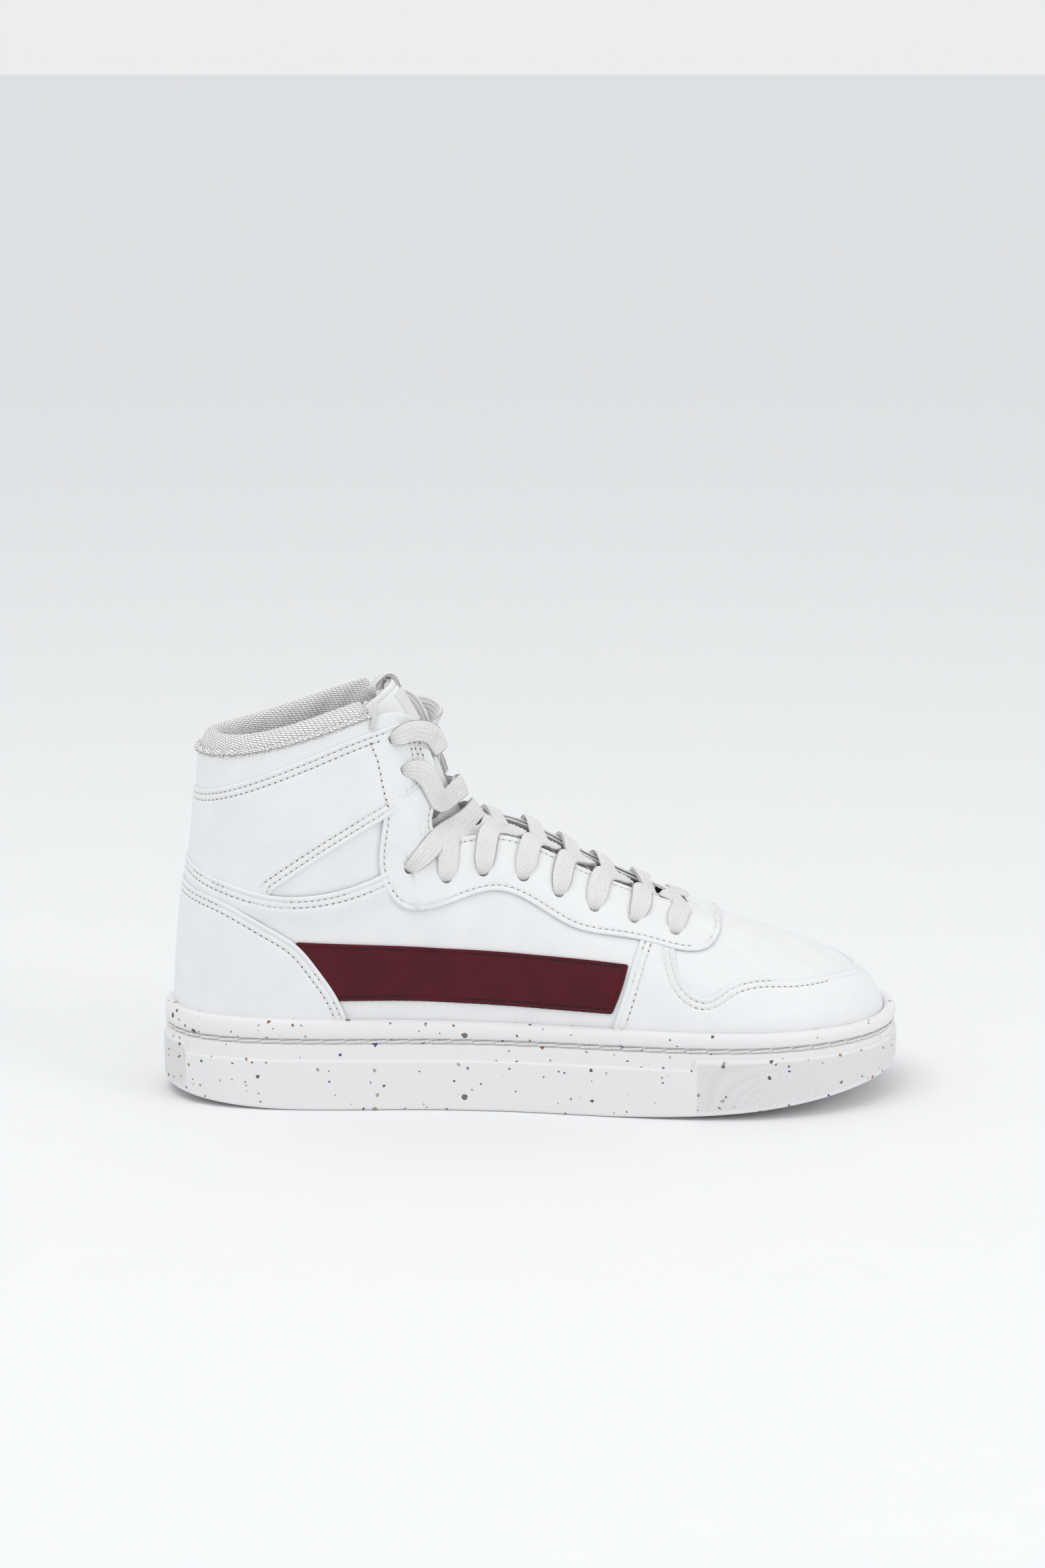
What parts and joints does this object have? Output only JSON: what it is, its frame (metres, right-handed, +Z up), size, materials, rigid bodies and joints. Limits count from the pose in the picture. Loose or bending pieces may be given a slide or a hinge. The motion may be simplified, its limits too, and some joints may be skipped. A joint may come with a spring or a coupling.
{
  "type": "basketball high top shoe",
  "caption": "Right high-top basketball sneaker: cup sole, layered leather upper with padded collar, laced tongue that tilts and a footbed that lifts out.",
  "frame": {"origin": "on the ground, centred under the sole's length and width", "axes": "+X heel to toe, +Y to the inner (medial) side of the foot, +Z up"},
  "size_m": [0.3002, 0.1081, 0.1703],
  "materials": {
    "rubber": "white speckled rubber",
    "thread": "white twisted thread",
    "foam": "foam",
    "board": "fibre board",
    "white_leather": "white grained synthetic leather",
    "maroon_leather": "dark maroon synthetic leather",
    "textile_lining": "woven lining",
    "spacer_mesh": "off-white knitted mesh",
    "stiffener": "thermoplastic board",
    "lace_cotton": "flat woven cotton",
    "aglet_plastic": "clear white plastic"
  },
  "bodies": {
    "shoe": {"aglet_lateral": "aglet_plastic", "ankle_cover": "white_leather", "ankle_panel": "white_leather", "collar_lining": "spacer_mesh", "collar_padding": "foam", "eyestay": "white_leather", "flap_lining_lateral": "textile_lining", "flap_lining_medial": "textile_lining", "heel_counter": "stiffener", "heel_overlay": "white_leather", "insole_board": "board", "lace": "lace_cotton", "midsole_filler": "foam", "outsole": "rubber", "quarter_lateral": "white_leather", "quarter_lining_lateral": "textile_lining", "quarter_lining_medial": "textile_lining", "quarter_medial": "white_leather", "side_stripe_lateral": "maroon_leather", "side_stripe_medial": "maroon_leather", "sidewall_stitching": "thread", "toe_overlay": "white_leather", "toe_puff": "stiffener", "tongue_gusset_lateral": "textile_lining", "tongue_gusset_medial": "textile_lining", "vamp": "white_leather", "vamp_lining": "textile_lining"},
    "tongue": {"aglet_medial": "aglet_plastic", "lace_end": "lace_cotton", "tongue_face": "white_leather", "tongue_label": "textile_lining", "tongue_lining": "spacer_mesh", "tongue_padding": "foam"},
    "footbed": {"sockliner": "foam"}
  },
  "joints": [
    {"name": "tongue_tilt", "type": "hinge", "parent": "shoe", "child": "tongue", "pos_m": [0.062, 0, 0.066], "axis": [0, 1, 0], "range_deg": [-7, 0]},
    {"name": "sockliner_lift", "type": "hinge", "parent": "shoe", "child": "footbed", "pos_m": [0.1397, 0, 0.0263], "axis": [0, 1, 0], "range_deg": [0, 4]}
  ]
}
